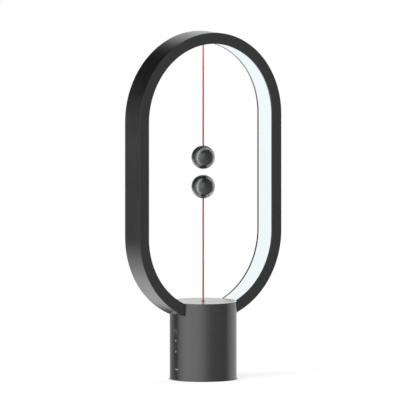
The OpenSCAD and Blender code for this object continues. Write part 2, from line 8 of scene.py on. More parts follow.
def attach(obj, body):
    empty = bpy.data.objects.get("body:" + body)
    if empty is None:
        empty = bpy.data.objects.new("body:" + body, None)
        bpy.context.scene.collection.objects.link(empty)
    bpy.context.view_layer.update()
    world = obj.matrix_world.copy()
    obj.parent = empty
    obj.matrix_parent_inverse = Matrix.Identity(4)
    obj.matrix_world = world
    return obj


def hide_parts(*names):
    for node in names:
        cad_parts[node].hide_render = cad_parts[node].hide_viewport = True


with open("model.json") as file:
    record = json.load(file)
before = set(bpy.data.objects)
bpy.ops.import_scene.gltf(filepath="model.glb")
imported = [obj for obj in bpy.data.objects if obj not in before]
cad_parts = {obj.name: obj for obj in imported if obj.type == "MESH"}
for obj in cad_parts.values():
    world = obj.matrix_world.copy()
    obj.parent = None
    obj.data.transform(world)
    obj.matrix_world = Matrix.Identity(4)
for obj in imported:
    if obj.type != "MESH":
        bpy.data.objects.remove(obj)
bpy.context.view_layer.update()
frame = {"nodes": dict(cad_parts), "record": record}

NODES = frame["nodes"]
LAMP = "lamp"  # the body of all that stays still
MM = 0.001

# Ring, mm
RING_R = 99.1
INNER_R = 86.3
ARC_TOP = 300.9  # height of the upper arc's centre
ARC_LOW = 167.6  # and of the lower one's
HALF_DEPTH = 15.0
LIP = 2.1  # side walls beside the light
WALL = 2.0
END_X = 20.0  # the ring's ends stop here inside the base
DIFFUSER_R, DIFFUSER_T = 86.6, 1.6
LEDGE_T, LEDGE_REACH = 1.0, 1.6
GAP = 0.1  # between pieces that are assembled

# Base, mm
BASE_R = 38.5
SHELL_R = 36.1  # inside of the shell
BASE_H = 89.6
FOOT_DROP = 0.6  # the foot stands this far below the shell
PLATE_T = 2.4
LEDGE_W, LEDGE_H = 2.0, 2.0
INLET_Z = 12.7
SOCKET_W, SOCKET_H = 8.94, 3.26
SOCKET_PLAY = 0.5
SOCKET_DEPTH = 5.0  # how deep the inlet's slot is cut
MARK_R = 1.3
MARK_ZS = (33.4, 46.0)
RING_MARK_Z = 56.2
RING_MARK_R = (2.6, 2.15)
MARK_DEPTH, MARK_PLAY = 0.45, 0.02
POST_XY, POST_R, PILOT_R = 17.0, 3.4, 1.55
RIB_T, RIB_BITE = 2.0, 0.5  # a rib's thickness, and how far it runs into the wall
BOSS_Z, DECK_Z = 31.1, 58.0
BOARD_BOSS_X, BOARD_BOSS_Y = -29.5, 8.0
BOARD_BOSS_R, BOARD_HOLE_R = 2.4, 0.8
BOARD_TOP, BOARD_BOSS_TOP = 11.07, 16.5
PROUD = 1.0  # how far a cutting shape runs past what it cuts
SEAT_GAP = 0.05  # where one piece sits in another

# Cord guide, mm
GUIDE_FLANGE_R, GUIDE_BARREL_R, GUIDE_MOUTH_R, GUIDE_BORE_R = 3.2, 2.6, 2.0, 1.2
GUIDE_FOOT_Z = 84.6
GUIDE_FLANGE_T = 1.4  # sunk into the plate
GUIDE_SEAT_Z = BASE_H - GUIDE_FLANGE_T
GUIDE_RISE = 0.2  # it stands this far above the plate
GUIDE_FUNNEL = 2.4

# Balls and cords, mm
CORD_R = 0.95
BALL_R = 13.5
UPPER_BALL_Z, LOWER_BALL_Z = 255.5, 221.6
EYELET_FACE, EYELET_TOP = 386.8, 389.7
EYELET_R, EYELET_FLANGE_R, EYELET_FLANGE_T = 2.0, 3.0, 0.58
UPPER_BEND, LOWER_BEND = 386.0, 92.8
KNOT_R = 1.7
UPPER_KNOT, LOWER_KNOT = 390.92, 64.2
JOINT_GAP = 1.0  # a cord stops this far from the point where it bends
CORD_INSIDE = 2.8  # a cord ends this far from its ball's centre
CORD_PLAY = 0.2  # room round a cord where it enters its ball
MAGNET_R, MAGNET_FAR = 7.0, 9.75
SPIGOT_T, STOP_POCKET_R, STOP_POCKET_TOP = 2.2, 4.0, 6.0

# Roundings, mm
FINE_EDGE, SOFT_EDGE = 0.1, 0.2
FRAME_EDGE, COVER_JOINT_EDGE, DIFFUSER_EDGE = 0.15, 0.12, 0.25
SHELL_TOP_EDGE, SHUT_LINE_EDGE, GUIDE_SEAT_EDGE = 0.3, 0.12, 0.06
EYELET_MOUTH_EDGE, GUIDE_FUNNEL_EDGE = 0.3, 0.4

# Steps round a circle
BASE_STEPS, BALL_STEPS, GUIDE_STEPS, EYELET_STEPS, POST_STEPS, HOLE_STEPS = 256, 128, 96, 64, 48, 32

# Photograph's view
VIEW_AZ, VIEW_EL = math.radians(35.05), math.radians(5.77)
VIEW_SCALE = 0.459
VIEW_SHIFT = (-0.00366, 0.20498)
CAMERA_DISTANCE = 1.5
CAMERA_CLIP = (0.01, 20)


# ---------- camera ----------

def view_axes():
    """The picture's right and up, and the way that the camera looks."""
    ca, sa, ce, se = math.cos(VIEW_AZ), math.sin(VIEW_AZ), math.cos(VIEW_EL), math.sin(VIEW_EL)
    right = Vector((ca, -sa, 0))
    up = Vector((se * sa, se * ca, ce))
    ahead = Vector((sa * ce, ca * ce, -se))
    return right, up, ahead


def make_camera():
    """A parallel camera that sees the lamp as the photograph does."""
    right, up, ahead = view_axes()
    data = bpy.data.cameras.new("camera")
    data.type = "ORTHO"
    data.ortho_scale = VIEW_SCALE
    data.clip_start, data.clip_end = CAMERA_CLIP
    camera = bpy.data.objects.new("camera", data)
    bpy.context.scene.collection.objects.link(camera)
    centre = right * VIEW_SHIFT[0] + up * VIEW_SHIFT[1]
    turn = Matrix((right, up, -ahead)).transposed().to_4x4()
    camera.matrix_world = Matrix.Translation(centre - ahead * CAMERA_DISTANCE) @ turn
    bpy.context.scene.camera = camera


make_camera()


# ---------- mesh helpers ----------

SHARP = 40  # degrees
ON_AXIS = 1e-6  # a smaller radius is none


def finish_mesh(mesh, sharp):
    """Shades the mesh smooth, but for edges that turn more than sharp degrees."""
    mesh.shade_smooth()
    mesh.set_sharp_from_angle(angle=math.radians(sharp))


def piece(name, verts, faces, materials=(), sharp=SHARP):
    """A new object from points in mm."""
    mesh = bpy.data.meshes.new(name)
    mesh.from_pydata([Vector(v) * MM for v in verts], [], faces)
    finish_mesh(mesh, sharp)
    obj = bpy.data.objects.new(name, mesh)
    bpy.context.scene.collection.objects.link(obj)
    for m in materials:
        mesh.materials.append(m)
    return obj


def turns(segments):
    """Cosine and sine of equal steps round a circle."""
    angles = [2 * math.pi * k / segments for k in range(segments)]
    return [(math.cos(a), math.sin(a)) for a in angles]


def rounded(outline, steps=4, support=1.6):
    """A closed outline whose corners (x, y, radius) become small arcs, with a point beyond each end."""
    out = []
    n = len(outline)
    for i, (x, y, radius) in enumerate(outline):
        p = Vector((x, y))
        if not radius:
            out.append(p)
            continue
        a = (Vector(outline[i - 1][:2]) - p).normalized()
        b = (Vector(outline[(i + 1) % n][:2]) - p).normalized()
        half = math.acos(max(-1, min(1, a.dot(b)))) / 2
        reach = radius / math.tan(half)
        centre = p + (a + b).normalized() * (radius / math.sin(half))
        start, end = p + a * reach - centre, p + b * reach - centre
        sweep = start.angle_signed(end)
        out.append(p + a * reach * support)
        for k in range(steps + 1):
            turn = Matrix.Rotation(-sweep * k / steps, 2)
            out.append(centre + turn @ start)
        out.append(p + b * reach * support)
    return out


def grid_faces(rows, cols, close_rows=False):
    """Quads between rows of cols points, each row closed on itself."""
    faces = []
    for i in range(rows if close_rows else rows - 1):
        low, high = i * cols, (i + 1) % rows * cols
        for k in range(cols):
            m = (k + 1) % cols
            faces.append((low + k, low + m, high + m, high + k))
    return faces


def capped_faces(rows, cols):
    """The same, closed by a face over the first row and one over the last."""
    last = (rows - 1) * cols
    return grid_faces(rows, cols) + [tuple(range(cols - 1, -1, -1)), tuple(range(last, last + cols))]


def prism(name, low, high):
    """A solid between two like outlines."""
    return piece(name, low + high, capped_faces(2, len(low)))


def upright(name, x, y, low, high, radius, segments):
    """A plain cylinder along Z, to cut or join with."""
    ends = [[(x + radius * c, y + radius * s, z) for c, s in turns(segments)] for z in (low, high)]
    return prism(name, *ends)


def lathe(name, outline, materials, segments, sharp=SHARP):
    """A closed outline in (radius, z) turned about Z. Each point on the axis is drawn once."""
    verts, rows = [], []
    for r, z in outline:
        if r < ON_AXIS:
            rows.append([len(verts)] * segments)
            verts.append((0, 0, z))
            continue
        rows.append(list(range(len(verts), len(verts) + segments)))
        verts += [(r * c, r * s, z) for c, s in turns(segments)]
    faces = []
    for i, low in enumerate(rows):
        high = rows[(i + 1) % len(rows)]
        for k in range(segments):
            m = (k + 1) % segments
            face = []
            for v in (low[k], low[m], high[m], high[k]):
                if v not in face:
                    face.append(v)
            if len(face) > 2:
                faces.append(face)
    return piece(name, verts, faces, materials, sharp)


def ring_stations(arc_steps=60, low_steps=52, side_steps=12):
    """Places along the ring from its left end over the top to its right end.
    Each is (centre z, share of the arc, kind), read by ring_point for any radius."""
    straight = ARC_TOP - ARC_LOW
    low = [(ARC_LOW, k / low_steps, "left") for k in range(low_steps)]
    up = [(ARC_LOW + straight * k / side_steps, 1, "left") for k in range(side_steps)]
    top = [(ARC_TOP, k / arc_steps, "top") for k in range(arc_steps)]
    down = [(ARC_TOP - straight * k / side_steps, 1, "right") for k in range(side_steps)]
    end = [(ARC_LOW, 1 - k / low_steps, "right") for k in range(low_steps + 1)]
    return low + up + top + down + end


def ring_point(station, r, y):
    """The place of a station's (radius, y). The low arcs start at END_X for every radius."""
    z, share, kind = station
    if kind == "top":
        a = math.pi * (1 - share)
        return r * math.cos(a), y, z + r * math.sin(a)
    start = math.asin(END_X / r)
    a = start + (math.pi / 2 - start) * share
    side = -1 if kind == "left" else 1
    return side * r * math.sin(a), y, z - r * math.cos(a)


def ring_sweep(name, outline, materials=()):
    """A closed outline in (radius, y) swept along the ring, with capped ends."""
    stations = ring_stations()
    verts = [ring_point(s, r, y) for s in stations for r, y in outline]
    return piece(name, verts, capped_faces(len(stations), len(outline)), materials)


def combine(obj, tools, operation="DIFFERENCE"):
    """Cuts the tools from obj, or joins them to it, and removes them."""
    for tool in tools:
        m = obj.modifiers.new("cut", "BOOLEAN")
        m.operation = operation
        m.solver = "EXACT"
        m.object = tool
    bpy.context.view_layer.update()
    evaluated = obj.evaluated_get(bpy.context.evaluated_depsgraph_get())
    mesh = bpy.data.meshes.new_from_object(evaluated)
    obj.modifiers.clear()
    obj.data = mesh
    finish_mesh(mesh, SHARP)
    for tool in tools:
        bpy.data.objects.remove(tool)


def stand_for(obj, node, body):
    """Has a dressed piece take a model node's place on its body."""
    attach(obj, body)
    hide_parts(node)


# ---------- materials ----------

NOISE_SPAN = (0.3, 0.7)  # most of a noise's values lie between these
MATERIALS = {}  # by slot


class Nodes:
    """The node tree of a material or world, built by short calls."""

    def __init__(self, owner):
        owner.use_nodes = True
        self.tree = owner.node_tree
        self.shader = self.tree.nodes.get("Principled BSDF")

    def give(self, socket, value):
        """Links a node's output to a socket, or sets the socket to a value."""
        if isinstance(value, bpy.types.NodeSocket):
            self.tree.links.new(value, socket)
        else:
            socket.default_value = value

    def add(self, kind, inputs=None, **settings):
        node = self.tree.nodes.new(kind)
        for key, value in settings.items():
            setattr(node, key, value)
        for key, value in (inputs or {}).items():
            self.give(node.inputs[key], value)
        return node

    def dress(self, **values):
        """Fills the shader's inputs, each named with _ for a space."""
        for key, value in values.items():
            self.give(self.shader.inputs[key.replace("_", " ")], value)

    def place(self, kind="Object"):
        return self.add("ShaderNodeTexCoord").outputs[kind]

    def noise(self, scale, detail, roughness=0.5, vector=None):
        return self.add("ShaderNodeTexNoise", {
            "Vector": vector or self.place(), "Scale": scale, "Detail": detail, "Roughness": roughness,
        }).outputs["Fac"]

    def calculate(self, operation, *values):
        return self.add("ShaderNodeMath", dict(enumerate(values)), operation=operation).outputs[0]

    def ramp(self, factor, stops):
        node = self.add("ShaderNodeValToRGB", {"Fac": factor})
        elements = node.color_ramp.elements
        elements[0].position, elements[0].color = stops[0][0], (*stops[0][1], 1)
        elements[1].position, elements[1].color = stops[-1][0], (*stops[-1][1], 1)
        for position, colour in stops[1:-1]:
            elements.new(position).color = (*colour, 1)
        return node.outputs["Color"]

    def tones(self, noise, dark, light):
        """A colour that runs from dark to light with a noise."""
        return self.ramp(noise, list(zip(NOISE_SPAN, (dark, light))))

    def between(self, noise, low, high):
        """A value that runs from low to high with a noise."""
        return self.map_range(noise, NOISE_SPAN, (low, high))

    def map_range(self, value, source, target=(0, 1), **settings):
        return self.add("ShaderNodeMapRange", {
            "Value": value, "From Min": source[0], "From Max": source[1],
            "To Min": target[0], "To Max": target[1],
        }, **settings).outputs["Result"]

    def bump(self, height, strength, distance):
        return self.add("ShaderNodeBump", {
            "Height": height, "Strength": strength, "Distance": distance,
        }).outputs["Normal"]


def slot_material(slot):
    """Starts the material of a slot, and keeps it in MATERIALS."""
    MATERIALS[slot] = bpy.data.materials.new(slot)
    return Nodes(MATERIALS[slot])


def shade(colour, share):
    """The colour made darker or lighter."""
    return tuple(c * share for c in colour)


def satin(slot, colour, roughness, grain=4200, depth=3e-5, variation=0.12, **constants):
    """Moulded or painted surface: fine grain, and slight mottle in colour and sheen."""
    n = slot_material(slot)
    broad = n.noise(60, detail=4)
    fine = n.noise(grain, detail=2)
    n.dress(
        Base_Color=n.tones(broad, shade(colour, 1 - variation), shade(colour, 1 + variation)),
        Roughness=n.between(broad, roughness * 0.92, roughness * 1.08),
        Normal=n.bump(fine, strength=0.35, distance=depth), **constants)


def polished(slot, colour, roughness, **constants):
    """Polished surface: a faint long-wave ripple and faint wiping marks."""
    n = slot_material(slot)
    broad = n.noise(90, detail=2)
    wiped = n.noise(900, detail=5, roughness=0.6)
    n.dress(
        Base_Color=n.tones(broad, shade(colour, 0.85), shade(colour, 1.15)),
        Roughness=n.between(wiped, roughness * 0.8, roughness * 1.25),
        Normal=n.bump(broad, strength=0.1, distance=8e-5), **constants)


def metal(slot, colour, roughness, scale=(40, 40, 1400)):
    """Plated or drawn metal with fine lines along one way."""
    n = slot_material(slot)
    stretched = n.add("ShaderNodeMapping", {"Vector": n.place(), "Scale": scale}).outputs["Vector"]
    lines = n.noise(1, detail=4, roughness=0.6, vector=stretched)
    n.dress(
        Base_Color=n.tones(lines, shade(colour, 0.8), colour),
        Roughness=n.between(lines, roughness * 0.8, roughness * 1.3),
        Normal=n.bump(lines, strength=0.2, distance=2e-5), Metallic=1)


def lit(slot, colour, glow, strength, roughness, specular=0.5):
    """A milky surface that gives its own light, slightly uneven over the chips behind it."""
    n = slot_material(slot)
    cloudy = n.noise(25, detail=2)
    n.dress(
        Base_Color=n.tones(cloudy, shade(colour, 0.97), colour),
        Emission_Color=n.tones(cloudy, shade(glow, 0.98), glow),
        Emission_Strength=strength, Specular_IOR_Level=specular,
        Roughness=n.between(cloudy, roughness * 0.95, roughness * 1.05),
        Normal=n.bump(n.noise(2500, detail=2), strength=0.15, distance=2e-5))


def braided(slot, colour):
    """Dyed thread: fine fibres, with painted shade darkening the dips between the strands."""
    n = slot_material(slot)
    relief = n.add("ShaderNodeAttribute", attribute_name="relief").outputs["Fac"]
    fibres = n.noise(9000, detail=2)
    # The relief darkens the colour in the dips as painted shade; the fibres vary it at random.
    dip_shade_and_fibres = n.calculate("MULTIPLY", relief, n.between(fibres, 0.8, 1.1))
    n.dress(
        Base_Color=n.ramp(dip_shade_and_fibres, [(0.0, shade(colour, 0.45)), (0.9, colour)]),
        Normal=n.bump(fibres, strength=0.5, distance=3e-5), Roughness=0.75, Sheen_Weight=0.1)


CHARCOAL = (0.021, 0.0212, 0.0216)
FRAME_CHARCOAL = (0.0095, 0.0097, 0.01)
FLAKE_IOR = 1.8  # paint with a fine pearl in it

satin("base_paint", CHARCOAL, 0.25, IOR=FLAKE_IOR)
satin("frame_paint", FRAME_CHARCOAL, 0.3, IOR=FLAKE_IOR)
satin("black_plastic", (0.03, 0.03, 0.032), 0.5, grain=2600, depth=5e-5)
satin("grey_plastic", (0.12, 0.12, 0.125), 0.45, grain=2600, depth=4e-5)
satin("white_plastic", (0.68, 0.68, 0.64), 0.35, grain=2600, variation=0.04)
satin("foot_rubber", (0.022, 0.022, 0.024), 0.75, grain=1800, depth=8e-5, variation=0.15)
satin("ballast", (0.16, 0.155, 0.15), 0.55, grain=700, depth=3e-4, variation=0.3, Metallic=0.8)
metal("steel", (0.62, 0.62, 0.64), 0.28)
satin("pale_print", (0.33, 0.34, 0.35), 0.45, grain=5000, depth=2e-5, variation=0.06)
lit("diffuser", (0.1, 0.1, 0.1), (0.892, 0.968, 0.997), strength=0.87, roughness=0.8, specular=0.0)
satin("strip_board", (0.78, 0.78, 0.75), 0.4, grain=1500, depth=2e-5, variation=0.04)
lit("led_chip", (0.8, 0.68, 0.3), (1.0, 0.93, 0.75), strength=1.2, roughness=0.25)
polished("eyelet", (0.68, 0.7, 0.7), 0.25)
braided("red_cord", (0.42, 0.013, 0.017))
metal("brass", (0.6, 0.45, 0.2), 0.3)
polished("ball_gloss", (0.01, 0.0105, 0.0105), 0.28, IOR=FLAKE_IOR)
metal("magnet", (0.7, 0.7, 0.72), 0.15, scale=(300, 300, 300))
polished("button_red", (0.5, 0.02, 0.02), 0.3)
satin("circuit_board", (0.01, 0.1, 0.045), 0.3, grain=900, depth=4e-5, variation=0.2)
satin("component_black", (0.02, 0.02, 0.022), 0.4, grain=2600)
polished("wire_red", (0.42, 0.015, 0.02), 0.35)


# ---------- cords ----------

BRAID_PITCH, BRAID_STRANDS = 4.2, 4  # mm for a whole turn of a strand, and strands each way
BRAID_DEPTH = 0.17  # mm from a strand's crown down to the dips
STRAND_UNDER = 0.55  # a strand's height where it passes under another
BRAID_SIDES, BRAID_ROW, BEND_ROW = 32, 0.16, 0.06  # points round, and mm between rows
ALL_SMOOTH = 180
PATH_EVERY = 8  # rows from one point of a cord's path to the next
NARROW = 0.02  # least square of a braided shape's half width, so that its rows never meet


def braid_relief(angle, along):
    """Height from 0 to 1 of a braid of strands wound both ways, each passing over and under."""
    best = 0.0
    turned = along / BRAID_PITCH
    for way in (-1, 1):
        phase = BRAID_STRANDS * (angle / (2 * math.pi) - way * turned)
        offset = abs(phase - round(phase)) * 2
        crown = math.sqrt(max(0.0, 1 - offset * offset))
        crossing = 2 * math.pi * (BRAID_STRANDS * turned + way / 4)
        weave = (1 + math.cos(crossing + math.pi * round(phase))) / 2
        best = max(best, crown * (STRAND_UNDER + (1 - STRAND_UNDER) * weave))
    return best


def braided_shape(name, low, high, radius, row=BRAID_ROW):
    """A braided shape turned about Z from low to high, in mm. radius gives its reach at a height."""
    rows = int((high - low) / row) + 1
    heights = [low + (high - low) * i / (rows - 1) for i in range(rows)]
    verts, relief = [], []
    for z in heights:
        reach = radius(z)
        for k, (c, s) in enumerate(turns(BRAID_SIDES)):
            h = braid_relief(2 * math.pi * k / BRAID_SIDES, z)
            r = reach - BRAID_DEPTH * (1 - h) * min(1, reach / CORD_R)
            verts.append((r * c, r * s, z))
            relief.append(h)
    obj = piece(name, verts, capped_faces(rows, BRAID_SIDES), [MATERIALS["red_cord"]], ALL_SMOOTH)
    # The relief also darkens the cord's colour in its dips, as painted shade.
    attribute = obj.data.attributes.new("relief", "FLOAT", "POINT")
    attribute.data.foreach_set("value", relief)
    return obj, heights


def braided_cord(name, low, high):
    """A straight braided cord, and the points on its centreline."""
    obj, heights = braided_shape(name, low, high, lambda z: CORD_R)
    return obj, [(0, 0, z * MM) for z in heights[::PATH_EVERY]] + [(0, 0, high * MM)]


def ball_reach(centre, r):
    """Half width of a sphere by height."""
    return lambda z: math.sqrt(max(NARROW, r * r - (z - centre) ** 2))


def knot_reach(knot, end):
    """Half width by height of a cord from its end to its knot, and of the knot."""
    ball = ball_reach(knot, KNOT_R)
    return lambda z: max(CORD_R if (z - knot) * (end - knot) > 0 else 0, ball(z))


def make_bend(name, z, body):
    """The short piece at the point where a cord bends."""
    bend, _ = braided_shape(name + "_bend_braid", z - CORD_R, z + CORD_R, ball_reach(z, CORD_R),
                            BEND_ROW)
    stand_for(bend, name + "_cord_bend", body)


def make_knot(name, knot, end, body):
    """The lead through a cord's fitting, and the knot behind it."""
    outer = knot + math.copysign(KNOT_R, knot - end)
    low, high = min(outer, end), max(outer, end)
    tied, _ = braided_shape(name + "_knot_braid", low, high, knot_reach(knot, end))
    stand_for(tied, name + "_cord_knot", body)


def make_cords():
    top = UPPER_BEND - JOINT_GAP
    upper, line = braided_cord("upper_cord_braid", UPPER_BALL_Z + CORD_INSIDE, top)
    stand_for(upper, "upper_cord", "upper_pendulum")
    foot = LOWER_BEND + JOINT_GAP
    lower, line = braided_cord("lower_cord_braid", foot, LOWER_BALL_Z - CORD_INSIDE)
    stand_for(lower, "lower_cord", "lower_pendulum")


make_bend("upper", UPPER_BEND, "upper_bend")
make_bend("lower", LOWER_BEND, "lower_bend")
make_knot("upper", UPPER_KNOT, UPPER_BEND + JOINT_GAP, LAMP)
make_knot("lower", LOWER_KNOT, LOWER_BEND - JOINT_GAP, "plunger")
make_cords()


# ---------- ring ----------

LEDGE_R = DIFFUSER_R + DIFFUSER_T + GAP


def make_frame_front():
    out = RING_R - WALL
    back = HALF_DEPTH - LIP
    front = -HALF_DEPTH + LIP
    outline = rounded([
        (INNER_R, -HALF_DEPTH, FRAME_EDGE), (INNER_R, front, SOFT_EDGE),
        (LEDGE_R, front, 0), (LEDGE_R, front + LEDGE_REACH, 0),
        (LEDGE_R + LEDGE_T, front + LEDGE_REACH, 0), (LEDGE_R + LEDGE_T, front, 0),
        (out, front, 0), (out, back, FINE_EDGE),
        (RING_R, back, COVER_JOINT_EDGE), (RING_R, -HALF_DEPTH, FRAME_EDGE),
    ])
    obj = ring_sweep("ring_frame_front", outline, [MATERIALS["frame_paint"]])
    stand_for(obj, "frame_front", LAMP)


def make_rear_cover():
    front = HALF_DEPTH - LIP
    outline = rounded([
        (INNER_R, front, SOFT_EDGE), (INNER_R, HALF_DEPTH, FRAME_EDGE),
        (RING_R, HALF_DEPTH, FRAME_EDGE), (RING_R, front, COVER_JOINT_EDGE),
        (LEDGE_R + LEDGE_T, front, 0), (LEDGE_R + LEDGE_T, front - LEDGE_REACH, 0),
        (LEDGE_R, front - LEDGE_REACH, 0), (LEDGE_R, front, 0),
    ])
    obj = ring_sweep("ring_rear_cover", outline, [MATERIALS["frame_paint"]])
    stand_for(obj, "frame_rear_cover", LAMP)


def make_diffuser():
    y = HALF_DEPTH - LIP - GAP
    far = DIFFUSER_R + DIFFUSER_T
    outline = rounded([(r, side, DIFFUSER_EDGE)
                       for r, side in ((DIFFUSER_R, -y), (DIFFUSER_R, y), (far, y), (far, -y))])
    obj = ring_sweep("ring_diffuser", outline, [MATERIALS["diffuser"]])
    low, high = EYELET_FACE - PROUD, EYELET_TOP + PROUD
    combine(obj, [upright("hole", 0, 0, low, high, EYELET_R + GAP, POST_STEPS)])
    stand_for(obj, "diffuser", LAMP)


def make_eyelet():
    under, over = EYELET_FACE, EYELET_TOP
    outline = rounded([
        (GUIDE_BORE_R, under, EYELET_MOUTH_EDGE), (EYELET_FLANGE_R, under, SOFT_EDGE),
        (EYELET_FLANGE_R, under + EYELET_FLANGE_T, FINE_EDGE), (EYELET_R, under + EYELET_FLANGE_T, 0),
        (EYELET_R, over - EYELET_FLANGE_T, 0), (EYELET_FLANGE_R, over - EYELET_FLANGE_T, FINE_EDGE),
        (EYELET_FLANGE_R, over, FINE_EDGE), (GUIDE_BORE_R, over, SOFT_EDGE),
    ])
    obj = lathe("upper_eyelet", outline, [MATERIALS["eyelet"]], EYELET_STEPS)
    stand_for(obj, "upper_cord_eyelet", LAMP)


# ---------- base ----------

def stadium_cutter(r, y, steps=96):
    """The ring's outline at radius r as a block from -y to y."""
    points = []
    for k in range(steps + 1):
        a = math.pi * k / steps
        points.append((r * math.cos(a), ARC_TOP + r * math.sin(a)))
    for k in range(steps * 2 + 1):
        a = math.pi + math.pi * k / (steps * 2)
        points.append((r * math.cos(a), ARC_LOW + r * math.sin(a)))
    return prism("stadium", *[[(x, side, z) for x, z in points] for side in (-y, y)])


def slot_cutter(width, height, x0, x1, z, steps=24):
    """A round-ended slot along X."""
    r = height / 2
    points = []
    for side, start in ((1, -math.pi / 2), (-1, math.pi / 2)):
        for k in range(steps + 1):
            a = start + math.pi * k / steps
            points.append((side * (width / 2 - r) + r * math.cos(a), z + r * math.sin(a)))
    return prism("slot", *[[(x, y, h) for y, h in points] for x in (x0, x1)])


def mark_cutters(x0, x1, segments=64):
    """Two discs and a ring along X, where the marks on the side sit."""
    circle = turns(segments)
    r = MARK_R + MARK_PLAY
    discs = [prism("mark", *[[(x, r * c, z + r * s) for c, s in circle] for x in (x0, x1)])
             for z in MARK_ZS]
    out, inside = RING_MARK_R[0] + MARK_PLAY, RING_MARK_R[1] - MARK_PLAY
    corners = ((out, x0), (out, x1), (inside, x1), (inside, x0))
    verts = [(x, r * c, RING_MARK_Z + r * s) for r, x in corners for c, s in circle]
    return discs + [piece("mark", verts, grid_faces(len(corners), segments, close_rows=True))]


def rib(degrees, start, low, high, off=0.0):
    """A web from start out into the shell's wall, along a direction in degrees, from low to high."""
    a = math.radians(degrees)
    along, across = Vector((math.cos(a), math.sin(a), 0)), Vector((-math.sin(a), math.cos(a), 0))
    reach = math.sqrt((SHELL_R + RIB_BITE) ** 2 - off ** 2)
    corners = ((-1, low), (1, low), (1, high), (-1, high))
    near, far = ([along * r + across * (side * RIB_T / 2) + Vector((0, off, z)) for side, z in corners]
                 for r in (start, reach))
    return prism("rib", near, far)


def shell_posts():
    """Posts for the four long screws, and bosses for the driver board's two, with their ribs."""
    posts = [upright("post", x * POST_XY, y * POST_XY, BOSS_Z, DECK_Z, POST_R, POST_STEPS)
             for x in (-1, 1) for y in (-1, 1)]
    posts += [rib(45 + 90 * k, POST_XY * math.sqrt(2), BOSS_Z, DECK_Z) for k in range(4)]
    for y in (-BOARD_BOSS_Y, BOARD_BOSS_Y):
        posts.append(upright("boss", BOARD_BOSS_X, y, BOARD_TOP, BOARD_BOSS_TOP, BOARD_BOSS_R,
                             POST_STEPS))
        posts.append(rib(180, -BOARD_BOSS_X, BOARD_TOP, BOARD_BOSS_TOP, y))
    return posts


def shell_cuts():
    """Screw holes, the ring's slot, the inlet's slot and the marks' recesses."""
    low, high = BOSS_Z - PROUD, DECK_Z + PROUD
    cuts = [upright("hole", x * POST_XY, y * POST_XY, low, high, PILOT_R, HOLE_STEPS)
            for x in (-1, 1) for y in (-1, 1)]
    low, high = BOARD_TOP - PROUD, BOARD_BOSS_TOP + PROUD
    cuts += [upright("hole", BOARD_BOSS_X, y, low, high, BOARD_HOLE_R, HOLE_STEPS)
             for y in (-BOARD_BOSS_Y, BOARD_BOSS_Y)]
    cuts.append(stadium_cutter(RING_R + GAP, HALF_DEPTH + GAP))
    cuts.append(slot_cutter(SOCKET_W + SOCKET_PLAY, SOCKET_H + SOCKET_PLAY,
                            -BASE_R - PROUD, -BASE_R + SOCKET_DEPTH, INLET_Z))
    return cuts + mark_cutters(-BASE_R - PROUD, -BASE_R + MARK_DEPTH)


def make_base_shell():
    step = BASE_H - PLATE_T
    outline = rounded([
        (SHELL_R, FOOT_DROP, FINE_EDGE), (BASE_R, FOOT_DROP, SOFT_EDGE),
        (BASE_R, BASE_H, SHELL_TOP_EDGE), (SHELL_R, BASE_H, SHUT_LINE_EDGE),
        (SHELL_R, step, 0), (SHELL_R - LEDGE_W, step, 0),
        (SHELL_R - LEDGE_W, step - LEDGE_H, 0), (SHELL_R, step - LEDGE_H, 0),
    ])
    obj = lathe("base_body", outline, [MATERIALS["base_paint"]], BASE_STEPS)
    combine(obj, shell_posts(), "UNION")
    combine(obj, shell_cuts())
    stand_for(obj, "base_shell", LAMP)


def make_top_plate():
    low = BASE_H - PLATE_T
    edge = SHELL_R - SEAT_GAP
    hole = GUIDE_BARREL_R + GAP
    seat = GUIDE_FLANGE_R + SEAT_GAP
    outline = rounded([
        (hole, low, 0), (edge, low, 0), (edge, BASE_H, SHUT_LINE_EDGE),
        (seat, BASE_H, GUIDE_SEAT_EDGE), (seat, GUIDE_SEAT_Z, 0), (hole, GUIDE_SEAT_Z, 0),
    ])
    obj = lathe("base_top_plate", outline, [MATERIALS["base_paint"]], BASE_STEPS)
    inside, outside, y = INNER_R - GAP, RING_R + PROUD, HALF_DEPTH + GAP
    combine(obj, [ring_sweep("band", ((inside, -y), (inside, y), (outside, y), (outside, -y)))])
    stand_for(obj, "top_plate", LAMP)


def make_cord_guide():
    top = BASE_H + GUIDE_RISE
    outline = rounded([
        (GUIDE_BORE_R, GUIDE_FOOT_Z, FINE_EDGE), (GUIDE_BARREL_R, GUIDE_FOOT_Z, 0),
        (GUIDE_BARREL_R, GUIDE_SEAT_Z, 0), (GUIDE_FLANGE_R, GUIDE_SEAT_Z, 0),
        (GUIDE_FLANGE_R, BASE_H, 0), (GUIDE_FLANGE_R - GUIDE_RISE, top, FINE_EDGE),
        (GUIDE_MOUTH_R, top, SOFT_EDGE), (GUIDE_BORE_R, top - GUIDE_FUNNEL, GUIDE_FUNNEL_EDGE),
    ])
    obj = lathe("base_cord_guide", outline, [MATERIALS["base_paint"]], GUIDE_STEPS)
    stand_for(obj, "lower_cord_guide", LAMP)


# ---------- balls ----------

JOINT_LINE = 0.25  # degrees from the equator to where a half's outside ends
JOINT_DEPTH = 0.2  # the line between the halves is this deep, in mm
JOINT_LIP = (0.06, 0.02)  # a point on the way in: how deep, and how far from the equator
HOLE_EDGE = 0.35  # the outside ends this far from the cord's hole
HOLE_THROAT = 0.5  # the hole's wall starts this far below the ball's radius
BALL_SHARP = 25  # degrees, as SHARP


def sphere_arc(start, end, steps=40):
    """Points on the ball's outside between two angles above its equator, in degrees."""
    out = []
    for k in range(steps + 1):
        a = math.radians(start + (end - start) * k / steps)
        out.append((BALL_R * math.cos(a), BALL_R * math.sin(a)))
    return out


